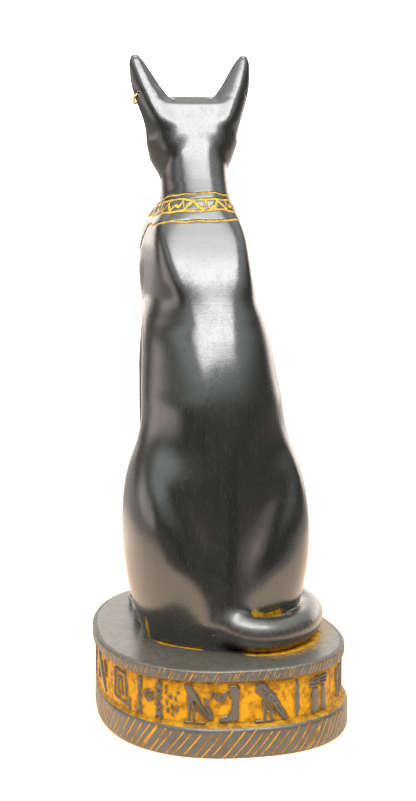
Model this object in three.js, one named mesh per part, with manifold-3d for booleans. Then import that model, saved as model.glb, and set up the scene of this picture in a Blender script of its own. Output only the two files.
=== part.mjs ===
// A seated cat on an oval plinth, cast in one piece in black composite, with a small gilt ring in its left ear.
// Millimetres, +Z up. The origin is the middle of the plinth's underside. The cat looks along -Y and its left is +X.
import * as THREE from "three";
import { mergeVertices } from "three/addons/utils/BufferGeometryUtils.js";
import Module from "manifold-3d";

// Driving dimensions of the plinth.
const plinthLength = 166;
const plinthWidth = 109.4;
const plinthHeight = 38;
const upperRimHeight = 5;
const lowerRimHeight = 13.5;
const bandRecess = 2;
const lowerRimSwell = 0.2;
const lowerRimOffset = { right: 0.9, back: 1.6 };
const edgeRounding = 1;
const figureRelief = 0.9;
const figureRoot = 1.2;

// Driving dimensions of the cat and its ring.
const catHeight = 262;
const tailThickness = 14.4;
const ringDiameter = 6.4;
const ringWire = 1.1;
const ringClearance = 0.3;
const earHoleDiameter = 2.4;

// The cat's forms are hundredths of its height: Y from the middle of the plinth, Z from the plinth's top.
const unit = catHeight / 100;
const earHolePlace = [9.3, -17.05, 93.2];

// The outline of the plinth is an oval that is squarer than an ellipse and wider at the rear.
const ovalPower = 2.3;
const rearWidening = 0.126;

const wasm = await Module();
wasm.setup();

const between = (low, high, value) => Math.min(high, Math.max(low, value));

// The row of a table of stations at a place along it, on a smooth curve through the rows.
// The first column is the place.
function stationAt(stations, place) {
  const last = stations.length - 1;
  const at = between(stations[0][0], stations[last][0], place);
  let i = 0;
  while (i < last - 1 && stations[i + 1][0] < at) i += 1;
  const [a, b] = [stations[i], stations[i + 1]];
  const before = stations[Math.max(0, i - 1)];
  const after = stations[Math.min(last, i + 2)];
  const span = b[0] - a[0];
  const t = (at - a[0]) / span;
  return a.map((value, column) => {
    const leaving = ((b[column] - before[column]) / (b[0] - before[0])) * span;
    const arriving = ((after[column] - value) / (after[0] - a[0])) * span;
    return (
      (2 * t ** 3 - 3 * t ** 2 + 1) * value +
      (t ** 3 - 2 * t ** 2 + t) * leaving +
      (3 * t ** 2 - 2 * t ** 3) * b[column] +
      (t ** 3 - t ** 2) * arriving
    );
  });
}

// Near distances to rounded masses: below zero inside, above zero outside.
function ellipsoid(point, middle, radii) {
  let shell = 0;
  let slope = 0;
  for (let axis = 0; axis < 3; axis += 1) {
    const offset = point[axis] - middle[axis];
    shell += (offset / radii[axis]) ** 2;
    slope += (offset / radii[axis] ** 2) ** 2;
  }
  if (slope === 0) return -Math.min(...radii);
  return (Math.sqrt(shell) * (Math.sqrt(shell) - 1)) / Math.sqrt(slope);
}

function taper(point, from, to, startRadius, endRadius) {
  const along = to.map((value, axis) => value - from[axis]);
  const reach = point.map((value, axis) => value - from[axis]);
  const dot = (a, b) => a[0] * b[0] + a[1] * b[1] + a[2] * b[2];
  const share = between(0, 1, dot(reach, along) / dot(along, along));
  const gap = reach.map((value, axis) => value - along[axis] * share);
  return Math.hypot(...gap) - (startRadius + (endRadius - startRadius) * share);
}

// Joins two distances with a fillet of the given size.
function blend(a, b, fillet) {
  const overlap = Math.max(fillet - Math.abs(a - b), 0);
  return Math.min(a, b) - (overlap * overlap) / (4 * fillet);
}

// The trunk, neck and skull: height, middle along Y, half width, depth in front of the middle, depth behind it,
// and the power of the section (2 is an oval, more is squarer).
const trunkStations = [
  [0, 3.8, 12.6, 15.3, 15.1, 1.9],
  [4.6, 4.2, 13.4, 15.5, 15.1, 1.8],
  [10.3, 4.6, 13.9, 15.8, 14.9, 1.7],
  [17.9, 4.6, 13.9, 15.6, 14.2, 1.7],
  [25.6, 3.8, 13.2, 15.3, 13.8, 1.8],
  [32.8, 2.7, 12.5, 14.7, 13.5, 1.9],
  [39.7, 1.1, 12.2, 14.1, 13.55, 2],
  [43, -0.6, 11.9, 13.9, 14.3, 2],
  [46.6, -2.3, 11.5, 13.7, 14.55, 2.05],
  [50.4, -4.2, 11.1, 13.2, 14.5, 2.15],
  [53.8, -7.2, 10.5, 12.6, 15.6, 2.35],
  [57.3, -9.9, 9.6, 12.2, 16.45, 2.8],
  [61.1, -10.5, 8.9, 11.8, 15.1, 3.5],
  [64.5, -11.1, 8.5, 11.1, 13.7, 3.8],
  [67.9, -12.2, 8.1, 10.3, 12.5, 3.6],
  [70.6, -12.9, 7.6, 8.6, 11.3, 3.1],
  [72.5, -13.4, 6.9, 7.7, 10.5, 2.7],
  [74.8, -14, 6.1, 6.9, 9.6, 2.4],
  [77.9, -14.8, 5.9, 6.5, 8.3, 2.3],
  [80, -15.2, 5.9, 6.3, 7.35, 2.25],
  [82, -15.6, 6.1, 6, 6.5, 2.2],
  [84.5, -16.1, 6.7, 5.6, 5.75, 2.25],
  [86.5, -16.4, 7.35, 5.5, 5.25, 2.5],
  [88.5, -16.7, 7.8, 5.4, 4.65, 2.9],
  [91, -17.2, 7.8, 5.2, 3.95, 3.2],
  [93.5, -17.6, 7.6, 5, 3.2, 3.2],
];

function trunk([x, y, z]) {
  const [, middle, halfWidth, front, rear, power] = stationAt(trunkStations, z);
  const halfDepth = y > middle ? rear : front;
  const top = trunkStations[trunkStations.length - 1][0];
  const [wide, deep] = [Math.abs(x) / halfWidth, Math.abs(y - middle) / halfDepth];
  const shell = Math.max((wide ** power + deep ** power) ** (1 / power), 1e-4);
  const slope = Math.hypot((wide / shell) ** (power - 1) / halfWidth, (deep / shell) ** (power - 1) / halfDepth);
  return Math.max((shell - 1) / Math.max(slope, 1e-6), z - top);
}

// A thigh is fuller above its middle than below, and leans forward as it rises.
function thighs([x, y, z]) {
  const middle = [8.1, 5.6 - 0.1 * z, 15.5];
  const rising = z > middle[2];
  const power = rising ? 2.6 : 2;
  const radii = [7.75, 13.2, rising ? 19.2 : 16];
  const offset = [Math.abs(x) - middle[0], y - middle[1], z - middle[2]];
  const total = offset.reduce((sum, value, axis) => sum + Math.abs(value / radii[axis]) ** power, 0);
  return (total ** (1 / power) - 1) * radii[0];
}

// The chest rises between the shoulders, which run down into the forelegs.
function chest(point) {
  const [x, y, z] = point;
  const breast = ellipsoid(point, [0, -17, 63], [7.6, 8.3, 13]);
  const shoulders = taper([Math.abs(x), y, z], [3.4, -17.8, 61], [4.5, -20.1, 44], 5.15, 3.9);
  return blend(breast, shoulders, 2.5);
}

// The flat crown drops towards the back of the head.
const crownHeight = (y) => 92.5 - 0.2 * (y + 18.3);

function face(point) {
  const mirrored = [Math.abs(point[0]), point[1], point[2]];
  const cheek = ellipsoid(mirrored, [3.7, -17, 83.6], [4.1, 5.9, 5.1]);
  const brow = ellipsoid(mirrored, [2.6, -19.6, 88], [4.6, 4.9, 4.2]);
  const bridge = taper(point, [0, -20.6, 88], [0, -24.6, 84.9], 4.0, 2.2);
  const muzzle = ellipsoid(mirrored, [1.7, -23, 82.9], [2.9, 3.9, 2.8]);
  const chin = taper(point, [0, -20.5, 80.4], [0, -23.6, 80.5], 3.0, 2.1);
  return blend(blend(blend(blend(brow, bridge, 2.2), muzzle, 1.4), chin, 1.2), cheek, 1.6);
}

// The tail starts as a broad ridge down the back of the rump.
function tailRoot(point) {
  const upper = taper(point, [1.4, 9, 28], [2.4, 14.6, 13.5], 1.4, 3.4);
  return Math.min(upper, taper(point, [2.4, 14.6, 13.5], [1.4, 17.6, 4.6], 3.4, 3.6));
}

function catField(point) {
  const rump = blend(trunk(point), tailRoot(point), 3);
  const body = blend(blend(rump, thighs(point), 2.4), chest(point), 2);
  const [x, y, z] = point;
  const crowned = -blend(-blend(body, face(point), 1.6), crownHeight(y) - z, 0.3);
  const earRoot = taper([Math.abs(x), y, z], [4.9, -16, 85.5], [6.9, -16.8, 92], 3.4, 2.1);
  return blend(crowned, earRoot, 1.2);
}

// A closed skin over rings of points with equal counts. Each end closes on a point in its middle.
function skin(rings, startPoint, endPoint) {
  const count = rings[0].length;
  const corners = [startPoint, ...rings.flat(), endPoint];
  const gap = (a, b) => Math.hypot(...corners[a].map((value, axis) => value - corners[b][axis]));
  const triangles = [];
  for (let i = 0; i < count; i += 1) {
    const next = (i + 1) % count;
    triangles.push([0, 1 + next, 1 + i]);
    for (let ring = 0; ring < rings.length - 1; ring += 1) {
      const [low, high] = [1 + ring * count, 1 + (ring + 1) * count];
      const [a, b, c, d] = [low + i, low + next, high + next, high + i];
      if (gap(a, c) < gap(b, d)) triangles.push([a, b, c], [a, c, d]);
      else triangles.push([a, b, d], [b, c, d]);
    }
    const top = corners.length - 1 - count;
    triangles.push([top + i, top + next, corners.length - 1]);
  }
  return solidFrom(corners, triangles);
}

function solidFrom(corners, triangles) {
  return new wasm.Manifold(
    new wasm.Mesh({
      numProp: 3,
      vertProperties: new Float32Array(corners.flat()),
      triVerts: new Uint32Array(triangles.flat()),
    }),
  );
}

const toMillimetres = ([x, y, z]) => [x * unit, y * unit, plinthHeight + z * unit];

// The distance from a middle point out to the surface of the field, along a level direction.
function reachOfField(middle, direction, furthest) {
  const pointAt = (reach) => [middle[0] + direction[0] * reach, middle[1] + direction[1] * reach, middle[2]];
  const stride = 0.8;
  let inside = 0;
  while (inside + stride < furthest && catField(pointAt(inside + stride)) < 0) inside += stride;
  let outside = inside + stride;
  for (let halving = 0; halving < 12; halving += 1) {
    const half = (inside + outside) / 2;
    if (catField(pointAt(half)) < 0) inside = half;
    else outside = half;
  }
  return inside;
}

const bodySides = 34;
const ringHeights = [
  -0.6, 2, 5.5, 9.5, 13.5, 17.5, 21.5, 25, 28, 30.5, 32.5, 34.4, 37, 40.5, 44.5, 48.5, 52, 55, 58, 61.5,
  65, 68, 70.2, 72, 74, 76, 77.8, 79, 80, 81, 82, 83, 84, 85, 86, 87.2, 88.5, 89.8, 91, 92,
];

function bodySkin() {
  const furthest = 40;
  const middleAt = (z) => (z < 77 ? stationAt(trunkStations, z)[1] : -17.5);
  const rings = ringHeights.map((z) => {
    const middle = [0, z < 60 ? middleAt(z) - 2 : middleAt(z), z];
    return Array.from({ length: bodySides }, (_, i) => {
      const angle = (2 * Math.PI * i) / bodySides;
      const direction = [Math.cos(angle), Math.sin(angle)];
      const reach = reachOfField(middle, direction, furthest);
      return toMillimetres([middle[0] + direction[0] * reach, middle[1] + direction[1] * reach, z]);
    });
  });
  const crown = toMillimetres([0, -17.5, 92.2]);
  const floor = toMillimetres([0, 2, ringHeights[0]]);
  return skin(rings, floor, crown);
}

// A limb: oval rings square to a path. A station is the middle, the half width and the half depth of a ring.
function limb(stations, sides, level) {
  const middles = stations.map(([x, y, z]) => new THREE.Vector3(...toMillimetres([x, y, z])));
  const rings = stations.map(([, , , halfWidth, halfDepth], i) => {
    const before = middles[Math.max(0, i - 1)];
    const after = middles[Math.min(middles.length - 1, i + 1)];
    const along = after.clone().sub(before).normalize();
    const across = level.clone().cross(along).normalize();
    const over = along.clone().cross(across);
    return Array.from({ length: sides }, (_, side) => {
      const angle = (2 * Math.PI * side) / sides;
      return middles[i]
        .clone()
        .addScaledVector(across, Math.cos(angle) * halfWidth * unit)
        .addScaledVector(over, Math.sin(angle) * halfDepth * unit)
        .toArray();
    });
  });
  const tip = (from, to) => to.clone().addScaledVector(to.clone().sub(from), 0.5).toArray();
  const last = middles.length - 1;
  return skin(rings, tip(middles[1], middles[0]), tip(middles[last - 1], middles[last]));
}

const sides = [1, -1];

function foreleg(side) {
  const stations = [
    [4.4, -23.4, -0.4, 3.7, 5.1],
    [4.4, -23.4, 1.4, 4.0, 5.4],
    [4.4, -23.2, 2.9, 4.0, 5.1],
    [4.4, -22.7, 4.4, 3.7, 4.3],
    [4.4, -22.1, 6.6, 3.5, 3.7],
    [4.4, -21.8, 11, 3.6, 3.5],
    [4.5, -21.6, 20, 3.8, 3.6],
    [4.7, -21.2, 31, 4.1, 3.8],
    [4.7, -20.7, 40, 4.3, 4.1],
    [4.6, -20.1, 47, 4.3, 4.3],
    [4.2, -18.9, 54, 4.0, 4.1],
    [3.6, -17.2, 61, 3.2, 3.2],
  ];
  const mirrored = stations.map(([x, y, z, wide, deep]) => [x * side, y, z, wide, deep]);
  return limb(mirrored, 14, new THREE.Vector3(0, 1, 0));
}

// A wall of the casting fills the space between the forelegs and the belly.
function web() {
  const heights = [-0.4, 12, 26, 38, 46, 52];
  const stations = heights.map((z) => [0, -14, z, 3.4, 8]);
  return limb(stations, 12, new THREE.Vector3(0, 1, 0));
}

function hindFoot(side) {
  const stations = [
    [9.4, 3, 2.2, 3.0, 3.4],
    [9.8, -2, 2.0, 3.3, 3.6],
    [9.7, -6, 1.6, 3.3, 3.2],
    [9.2, -10, 1.1, 3.2, 2.8],
    [8.6, -14, 0.8, 3.3, 2.5],
    [8.3, -17.5, 0.8, 3.5, 2.4],
    [8.2, -20, 0.7, 2.9, 1.9],
  ];
  const mirrored = stations.map(([x, y, z, wide, deep]) => [x * side, y, z, wide, deep]);
  return limb(mirrored, 12, new THREE.Vector3(0, 0, 1));
}

const tailPoints = [
  [2.2, 15.4, 8],
  [1.0, 18, 5],
  [-1.6, 20.2, 3.3],
  [-4.6, 20.8, 2.8],
  [-8.2, 19.6, 2.7],
  [-12, 16, 2.7],
  [-15, 10, 2.7],
  [-16.7, 4, 2.75],
  [-16.8, -2.5, 2.75],
  [-15.7, -8.7, 2.65],
  [-13.6, -14, 2.45],
];

function tail() {
  const path = new THREE.CatmullRomCurve3(tailPoints.map((point) => new THREE.Vector3(...point)));
  const steps = 24;
  const radius = tailThickness / 2 / unit;
  const tipLength = 0.09;
  const stations = Array.from({ length: steps + 1 }, (_, i) => {
    const share = i / steps;
    const round = Math.sqrt(1 - Math.max(0, (share - (1 - tipLength)) / tipLength) ** 2 * 0.9);
    const thick = radius * (1.17 - 0.37 * share) * round;
    return [...path.getPointAt(share).toArray(), thick, thick];
  });
  return limb(stations, 10, new THREE.Vector3(0.02, 0.03, 1));
}

// An ear is a cupped sheet open to the front.
// Height, middle across, half width, middle along Y, bow and half thickness:
const earStations = [
  [84, 4.2, 2.3, -14.4, 1.2, 1.9],
  [86, 4.6, 2.9, -13.8, 1.8, 1.8],
  [88, 5.2, 3.4, -13.6, 2.3, 1.6],
  [90.2, 6.3, 3.2, -14.2, 2.4, 1.2],
  [92.8, 7.4, 2.95, -15.1, 2.2, 0.8],
  [94.8, 8.3, 2.5, -16, 1.8, 0.65],
  [97.2, 9.15, 1.75, -17.1, 1.1, 0.55],
  [98.8, 9.7, 1.25, -17.8, 0.6, 0.5],
  [99.5, 9.95, 0.85, -18.1, 0.3, 0.42],
  [99.85, 10.05, 0.4, -18.2, 0.1, 0.3],
];

// A point of the ear's sheet: along runs from its inner rim at -1 to its outer rim at 1.
function earSheet(z, along) {
  const [, across, halfWidth, middle, bow, thickness] = stationAt(earStations, z);
  return [across + (halfWidth - thickness) * along, middle - bow * ((along + 0.6) / 1.6) ** 2, z];
}

function ear(side) {
  const heights = [84, 86.5, 88.5, 90.2, 91.8, 93.4, 95, 96.5, 97.8, 98.8, 99.5, 99.85];
  const count = 16;
  const rings = heights.map((z) => {
    const thickness = stationAt(earStations, z)[5];
    return Array.from({ length: count }, (_, i) => {
      const angle = (2 * Math.PI * i) / count;
      const [x, y] = earSheet(z, between(-1, 1, 1.35 * Math.cos(angle)));
      return toMillimetres([x + thickness * Math.cos(angle), y + thickness * Math.sin(angle), z]);
    });
  });
  const made = skin(rings, toMillimetres([4.2, -14.4, 83.4]), toMillimetres([10.2, -18.6, 100]));
  return side > 0 ? made : made.mirror([1, 0, 0]);
}

// A point of the plinth's outline moved out by an offset, at an angle and a height.
function outlinePoint(angle, offset, z) {
  const halfWidth = plinthWidth / 2 + offset;
  const halfLength = plinthLength / 2 + offset;
  const power = (value) => Math.sign(value) * Math.abs(value) ** (2 / ovalPower);
  const along = power(Math.sin(angle));
  return [halfWidth * power(Math.cos(angle)) * (1 + rearWidening * along), halfLength * along, z];
}

const bandBottom = lowerRimHeight + 1;
const bandTop = plinthHeight - upperRimHeight;
const bandHeight = bandTop - bandBottom;

// The lower rim bulges and sits a little off the middle, as the casting was finished by hand.
function plinth() {
  const lowerRim = [
    [-lowerRimSwell, 0],
    [lowerRimSwell, 2 * edgeRounding],
    [lowerRimSwell, lowerRimHeight / 2],
    [-lowerRimSwell, lowerRimHeight - 1.5 * edgeRounding],
    [-bandRecess / 2, lowerRimHeight],
  ];
  const upper = [
    [-bandRecess, bandBottom],
    [-bandRecess, bandTop - edgeRounding / 2],
    [0, bandTop],
    [0, plinthHeight - edgeRounding],
    [-edgeRounding, plinthHeight],
  ];
  const count = 76;
  const ringOf = ([offset, z], right, back) =>
    Array.from({ length: count }, (_, i) => {
      const [x, y] = outlinePoint((2 * Math.PI * i) / count, offset, z);
      return [x - right, y + back, z];
    });
  const rings = [
    ...lowerRim.map((row) => ringOf(row, lowerRimOffset.right, lowerRimOffset.back)),
    ...upper.map((row) => ringOf(row, 0, 0)),
  ];
  return skin(rings, [-lowerRimOffset.right, lowerRimOffset.back, 0], [0, 0, plinthHeight]);
}

// Angles at equal small steps with the distance run along the band's ground, from the rear middle towards +X.
const bandTrace = (() => {
  const steps = 1440;
  const trace = [];
  let run = 0;
  for (let i = 0; i <= steps; i += 1) {
    const angle = Math.PI / 2 - (2 * Math.PI * i) / steps;
    const here = outlinePoint(angle, -bandRecess, 0);
    if (i > 0) run += Math.hypot(here[0] - trace[i - 1].at[0], here[1] - trace[i - 1].at[1]);
    trace.push({ angle, run, at: here });
  }
  return trace;
})();
const bandLength = bandTrace[bandTrace.length - 1].run;

// The frieze is drawn in units along the band, of which a whole round holds a fixed count.
const unitsRound = 436;
const friezeUnit = bandLength / unitsRound;

function bandPoint(run, offset, z) {
  const wrapped = ((run % bandLength) + bandLength) % bandLength;
  const i = bandTrace.findIndex((entry) => entry.run >= wrapped);
  if (i <= 0) return outlinePoint(bandTrace[0].angle, offset, z);
  const [a, b] = [bandTrace[i - 1], bandTrace[i]];
  const share = (wrapped - a.run) / (b.run - a.run);
  return outlinePoint(a.angle + (b.angle - a.angle) * share, offset, z);
}

// A flat shape raised from the band's ground. Its X is in frieze units along the band, its Y in millimetres up from its foot.
function raised(shape, place) {
  const { shape: contour, holes } = shape.extractPoints(6);
  if (!THREE.ShapeUtils.isClockWise(contour)) contour.reverse();
  holes.forEach((hole) => {
    if (THREE.ShapeUtils.isClockWise(hole)) hole.reverse();
  });
  const faces = THREE.ShapeUtils.triangulateShape(contour, holes);
  const loops = [contour, ...holes];
  const flat = loops.flat();
  const lift = (offset) => ({ x, y }) => bandPoint((place - x) * friezeUnit, offset, bandBottom + y);
  const corners = [...flat.map(lift(figureRelief - bandRecess)), ...flat.map(lift(-bandRecess - figureRoot))];
  const triangles = faces.flatMap(([a, b, c]) => [
    [a, b, c],
    [c + flat.length, b + flat.length, a + flat.length],
  ]);
  let start = 0;
  for (const loop of loops) {
    for (let i = 0; i < loop.length; i += 1) {
      const a = start + i;
      const b = start + ((i + 1) % loop.length);
      triangles.push([a, b, b + flat.length], [a, b + flat.length, a + flat.length]);
    }
    start += loop.length;
  }
  return solidFrom(corners, triangles);
}

function polygon(points, holes = []) {
  const shape = new THREE.Shape(points.map(([x, y]) => new THREE.Vector2(x, y * bandHeight)));
  shape.holes = holes.map((hole) => new THREE.Path(hole.map(([x, y]) => new THREE.Vector2(x, y * bandHeight))));
  return shape;
}

const box = (left, right, low, high) => [
  [left, low],
  [right, low],
  [right, high],
  [left, high],
];

const nestedSquares = () => [
  polygon(box(-7.2, 7.2, 0.12, 0.9), [box(-5.7, 5.7, 0.2, 0.82)]),
  polygon(box(-3.6, 3.6, 0.32, 0.7), [box(-2, 2, 0.41, 0.61)]),
];

const post = () => [
  polygon([
    [-1.1, 0.08],
    [1.5, 0.08],
    [1.1, 0.9],
    [-1.5, 0.9],
  ]),
];

const spindle = () => [
  polygon([
    [0, 0.06],
    [1.3, 0.4],
    [0.5, 0.92],
    [-0.5, 0.92],
    [-1.3, 0.4],
  ]),
];

// An upright of beads, one above the other.
function beads(halfWidth) {
  const left = [];
  const right = [];
  const count = 3;
  for (let i = 0; i <= count * 2; i += 1) {
    const wide = i % 2 === 0 ? halfWidth * 0.4 : halfWidth;
    const y = 0.08 + (0.84 * i) / (count * 2);
    left.unshift([-wide, y]);
    right.push([wide, y]);
  }
  return [polygon([...right, ...left])];
}

const thinBeads = () => beads(1.1);
const thickBeads = () => beads(1.7);

function roundel() {
  const circle = (radius, count) =>
    Array.from({ length: count }, (_, i) => {
      const angle = (2 * Math.PI * i) / count;
      return [radius * Math.cos(angle), 0.5 + (radius * friezeUnit * Math.sin(angle)) / bandHeight];
    });
  return [polygon(circle(2.5, 10), [circle(1.6, 6)])];
}

const leaf = () => [
  polygon([
    [-9.5, 0.05],
    [-3.6, 0.3],
    [5.5, 0.92],
    [9.5, 0.95],
    [3.6, 0.52],
    [-5.4, 0.06],
  ]),
];

// A standing bird that looks to one side, on a short ground line.
function bird(size) {
  const outline = [
    [-2.6, 0.1],
    [-1.2, 0.34],
    [0, 0.36],
    [0.2, 0.1],
    [1.2, 0.1],
    [1.5, 0.4],
    [7.8, 0.1],
    [3.2, 0.66],
    [-1.2, 0.94],
    [-3.6, 0.92],
    [-5.4, 0.82],
    [-3.6, 0.78],
    [-2.8, 0.42],
  ];
  const scaled = (points) => points.map(([x, y]) => [x * size, 0.1 + (y - 0.1) * (0.3 + 0.7 * size)]);
  return [polygon(scaled(outline)), polygon(box(-5 * size, 4 * size, 0.02, 0.08))];
}

const largeBird = () => bird(1);
const smallBird = () => bird(0.72);

// Two pillars under a lintel with a bar above it.
const gate = () => [
  polygon([
    [-6.6, 0.06],
    [-3.2, 0.06],
    [-3.2, 0.66],
    [3.2, 0.66],
    [3.2, 0.06],
    [6.6, 0.06],
    [6.6, 0.66],
    [8.4, 0.66],
    [8.4, 0.77],
    [-8.4, 0.77],
    [-8.4, 0.66],
    [-6.6, 0.66],
  ]),
  polygon(box(-8.4, 8.4, 0.84, 0.94)),
];

const seat = () => [
  polygon([
    [-3.4, 0.08],
    [2.6, 0.08],
    [2.2, 0.3],
    [3.6, 0.9],
    [1.2, 0.94],
    [-0.2, 0.36],
    [-3.2, 0.24],
  ]),
];

// The raised figures of the band, each at its place along it: the rear first, then the hidden sides from the left.
const frieze = [
  [post, -57],
  [post, -50],
  [gate, -34],
  [spindle, -21.5],
  [largeBird, -8],
  [seat, 7.5],
  [smallBird, 22.5],
  [thickBeads, 40.5],
  [roundel, 45.6],
  [thinBeads, 51.6],
  [nestedSquares, 65.5],
  [leaf, 93.5],
  [thickBeads, 120],
  [largeBird, 138],
  [seat, 156],
  [gate, 176],
  [spindle, 195],
  [nestedSquares, 212],
  [thinBeads, 230],
  [smallBird, 247],
  [leaf, 272],
  [roundel, 292],
  [gate, 312],
  [thickBeads, 332],
  [seat, 347],
  [post, 363],
];

const friezeSolids = () => frieze.flatMap(([make, place]) => make().map((shape) => raised(shape, place)));

// The ring hangs from a hole near the outer rim of the left ear and loops round that rim.
const earHole = new THREE.Vector3(...toMillimetres(earHolePlace));
const earNormal = new THREE.Vector3(0.6, 0.8, 0).normalize();
const ringDrop = new THREE.Vector3(0.5, 0, -0.87).normalize();

function earRing(wireDiameter) {
  const loopRadius = (ringDiameter - ringWire) / 2;
  const middle = earHole.clone().addScaledVector(ringDrop, loopRadius);
  const torus = new THREE.TorusGeometry(loopRadius, wireDiameter / 2, 8, 20);
  const axis = ringDrop.clone().cross(earNormal).normalize();
  return turnedSolid(torus, new THREE.Vector3(0, 0, 1), axis, middle);
}

function earHoleCutter(side) {
  const throughLength = 2 * ringDiameter;
  const cutter = new THREE.CylinderGeometry(earHoleDiameter / 2, earHoleDiameter / 2, throughLength, 10);
  const made = turnedSolid(cutter, new THREE.Vector3(0, 1, 0), earNormal, earHole);
  return side > 0 ? made : made.mirror([1, 0, 0]);
}

// The solid of a geometry whose own axis is turned to a new one and moved to a place.
function turnedSolid(geometry, ownAxis, axis, place) {
  geometry.deleteAttribute("normal");
  geometry.deleteAttribute("uv");
  const turn = new THREE.Quaternion().setFromUnitVectors(ownAxis, axis);
  const merged = mergeVertices(geometry.applyQuaternion(turn).translate(...place));
  const corners = Array.from({ length: merged.getAttribute("position").count }, (_, i) =>
    new THREE.Vector3().fromBufferAttribute(merged.getAttribute("position"), i).toArray(),
  );
  return solidFrom(corners, [[...merged.index.array]]);
}

function meshOf(solid, name, material) {
  const { vertProperties, triVerts } = solid.getMesh();
  const geometry = new THREE.BufferGeometry();
  geometry.setAttribute("position", new THREE.BufferAttribute(vertProperties, 3));
  geometry.setIndex(new THREE.BufferAttribute(triVerts, 1));
  geometry.computeVertexNormals();
  const mesh = new THREE.Mesh(geometry, material);
  mesh.name = name;
  return mesh;
}

const black = new THREE.MeshStandardMaterial({ color: 0x1d211f, roughness: 0.28, metalness: 0 });
const gilt = new THREE.MeshStandardMaterial({ color: 0xd9a52c, roughness: 0.35, metalness: 0.8 });

let casting = plinth();
const limbs = [...sides.map(foreleg), ...sides.map(hindFoot), ...sides.map(ear), web(), tail()];
for (const piece of [bodySkin(), ...limbs, ...friezeSolids()]) {
  casting = casting.add(piece);
}
for (const cutter of [...sides.map(earHoleCutter), earRing(ringWire + 2 * ringClearance)]) {
  casting = casting.subtract(cutter);
}

const group = new THREE.Group();
group.add(meshOf(casting, "cat_figure", black));
group.add(meshOf(earRing(ringWire), "ear_ring", gilt));

export default group;
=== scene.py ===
"""Looks of a seated cat figure on an oval plinth: black composite with gold paint in its carving, and a small
gilt ring in the left ear. The plinth is worked out in millimetres and the cat in hundredths of its height.
The meshes are in metres. X is towards the cat's left, Y towards its back and Z up."""

import math

import bmesh
import bpy
import numpy as np
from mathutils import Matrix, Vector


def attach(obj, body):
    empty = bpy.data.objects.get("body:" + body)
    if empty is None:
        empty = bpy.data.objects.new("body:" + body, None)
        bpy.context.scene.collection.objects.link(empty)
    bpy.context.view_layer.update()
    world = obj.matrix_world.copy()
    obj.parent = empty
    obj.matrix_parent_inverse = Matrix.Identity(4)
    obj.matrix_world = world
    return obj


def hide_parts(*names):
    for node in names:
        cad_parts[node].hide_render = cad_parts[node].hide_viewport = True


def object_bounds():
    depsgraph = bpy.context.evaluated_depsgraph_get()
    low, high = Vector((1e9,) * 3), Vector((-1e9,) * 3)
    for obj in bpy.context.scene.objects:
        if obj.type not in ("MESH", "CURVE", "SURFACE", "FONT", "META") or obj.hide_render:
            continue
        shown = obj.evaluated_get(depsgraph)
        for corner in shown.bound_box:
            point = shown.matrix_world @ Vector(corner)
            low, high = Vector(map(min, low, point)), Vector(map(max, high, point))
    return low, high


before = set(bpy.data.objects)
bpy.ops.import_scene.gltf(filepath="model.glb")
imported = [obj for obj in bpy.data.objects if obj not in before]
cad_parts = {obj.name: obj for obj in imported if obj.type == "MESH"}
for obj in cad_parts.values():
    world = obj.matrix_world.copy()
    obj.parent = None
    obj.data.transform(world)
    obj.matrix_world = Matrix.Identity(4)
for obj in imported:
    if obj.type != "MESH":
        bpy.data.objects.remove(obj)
cad_box = [list(corner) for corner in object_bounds()]

MM = 0.001

# Sizes of the plinth in millimetres, as the solid has them. The lower rim is shifted to the right and back.
PLINTH_LENGTH = 166
PLINTH_WIDTH = 109.4
PLINTH_TOP = 38
UPPER_RIM = 5
BAND_FOOT = 14.5
BAND_TOP = PLINTH_TOP - UPPER_RIM
BAND_RECESS = 2
RIM_RIGHT = 0.9
RIM_BACK = 1.6
OVAL_POWER = 2.3
REAR_WIDENING = 0.126

# Its fine sizes: the rounding of the top's edge, the frieze's relief and the height where the lower cuts end.
PLATE_EDGE = 2.1
FIGURE_RELIEF = 0.9
CUTS_TOP = 12.4

# The cat's forms are in hundredths of its height, with Z from the plinth's top.
CAT_HEIGHT = cad_box[1][2] / MM - PLINTH_TOP
UNIT = CAT_HEIGHT / 100
TAIL_THICKNESS = 14.4


def ease(low, high, value):
    """0 at low and 1 at high or beyond, with a smooth rise between."""
    share = np.clip((value - low) / (high - low), 0, 1)
    return share * share * (3 - 2 * share)


def stations_at(stations, place):
    """A table's columns at places along it, on a smooth curve through its rows."""
    table = np.asarray(stations, float)
    last = len(table) - 1
    at = np.clip(place, table[0, 0], table[last, 0])
    i = np.clip(np.searchsorted(table[:, 0], at, side="right") - 1, 0, last - 1)
    a, b = table[i], table[i + 1]
    before, after = table[np.maximum(i - 1, 0)], table[np.minimum(i + 2, last)]
    span = (b - a)[:, :1]
    t = (at[:, None] - a[:, :1]) / span
    leaving = (b - before) / (b - before)[:, :1] * span
    arriving = (after - a) / (after - a)[:, :1] * span
    rows = (2 * t**3 - 3 * t**2 + 1) * a + (t**3 - 2 * t**2 + t) * leaving
    return (rows + (3 * t**2 - 2 * t**3) * b + (t**3 - t**2) * arriving).T


def ellipsoid(p, middle, radii):
    offset = p - np.array(middle)
    shell = np.sqrt(((offset / radii) ** 2).sum(1))
    slope = np.sqrt(((offset / np.square(radii)) ** 2).sum(1))
    return shell * (shell - 1) / np.maximum(slope, 1e-6)


def taper(p, start, end, start_radius, end_radius):
    along = np.subtract(end, start)
    reach = p - np.array(start)
    share = np.clip(reach @ along / (along @ along), 0, 1)
    gap = reach - share[:, None] * along
    return np.sqrt((gap**2).sum(1)) - (start_radius + (end_radius - start_radius) * share)


def segment(u, v, start, end):
    """Distance to a straight line between two points, and the share of the way along it."""
    along = np.subtract(end, start)
    u, v = u - start[0], v - start[1]
    share = np.clip((u * along[0] + v * along[1]) / (along**2).sum(0), 0, 1)
    return np.hypot(u - share * along[0], v - share * along[1]), share


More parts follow.
